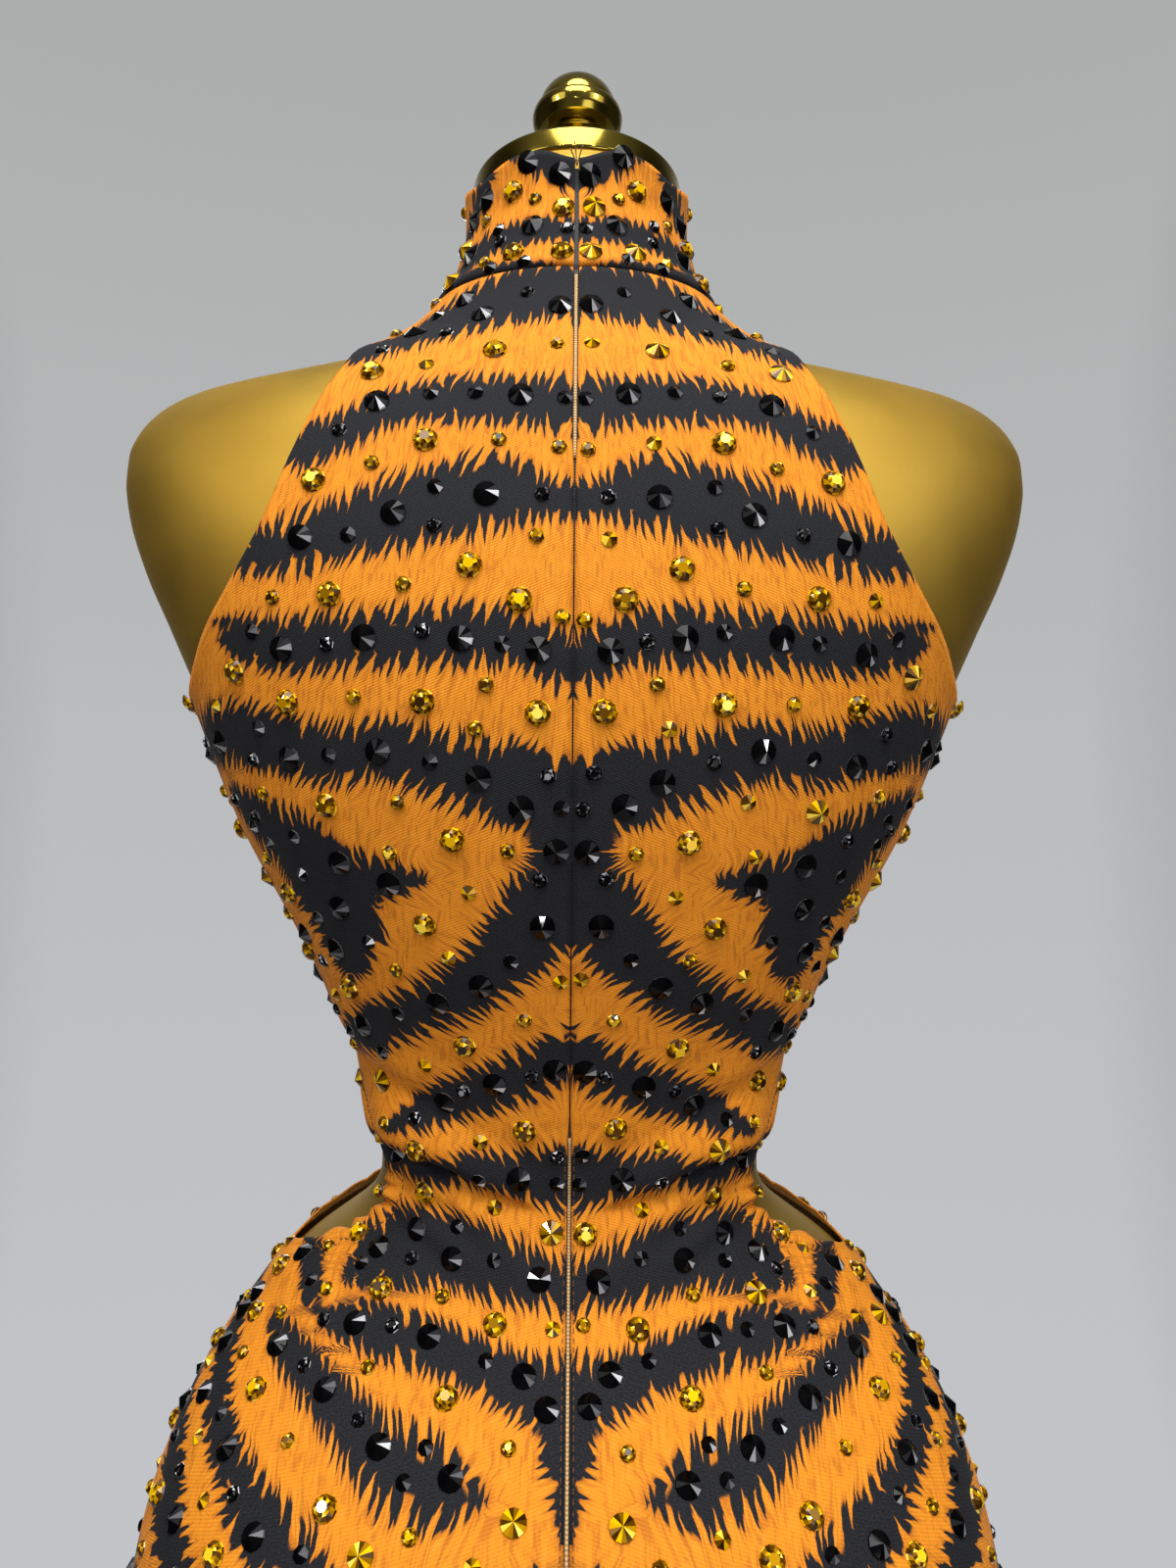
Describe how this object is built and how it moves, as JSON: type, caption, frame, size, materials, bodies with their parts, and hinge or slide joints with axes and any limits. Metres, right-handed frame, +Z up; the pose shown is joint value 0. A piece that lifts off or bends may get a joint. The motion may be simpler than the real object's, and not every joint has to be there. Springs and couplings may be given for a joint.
{
  "type": "rhinestone jumpsuit on dress form",
  "caption": "Sleeveless high-neck stretch jumpsuit in tiger print with rhinestones and side waist cutouts, worn by a limbless gold dress form on a round stand.",
  "frame": {"origin": "centre of the base plate's underside, on the floor", "axes": "+Z up; +Y out of the garment's back, so that its front faces -Y; +X towards the wearer's left"},
  "size_m": [0.3946, 0.38, 1.5523],
  "materials": {
    "printed_jersey": "matte stretch jersey with a fine twill face, printed",
    "zip_tape": "woven zip tape and cord",
    "black_rhinestone": "faceted, foil-backed",
    "amber_rhinestone": "faceted, foil-backed",
    "gold_paint": "satin metallic",
    "gold_plate": "polished plating"
  },
  "bodies": {
    "root": {"back_left": "printed_jersey", "back_right": "printed_jersey", "front_left": "printed_jersey", "front_right": "printed_jersey", "collar": "printed_jersey", "back_zip": "zip_tape", "dress_form": "gold_paint", "neck_cap": "gold_plate", "neck_knob": "gold_plate", "pole": "gold_plate", "base_plate": "gold_plate"}
  },
  "joints": []
}
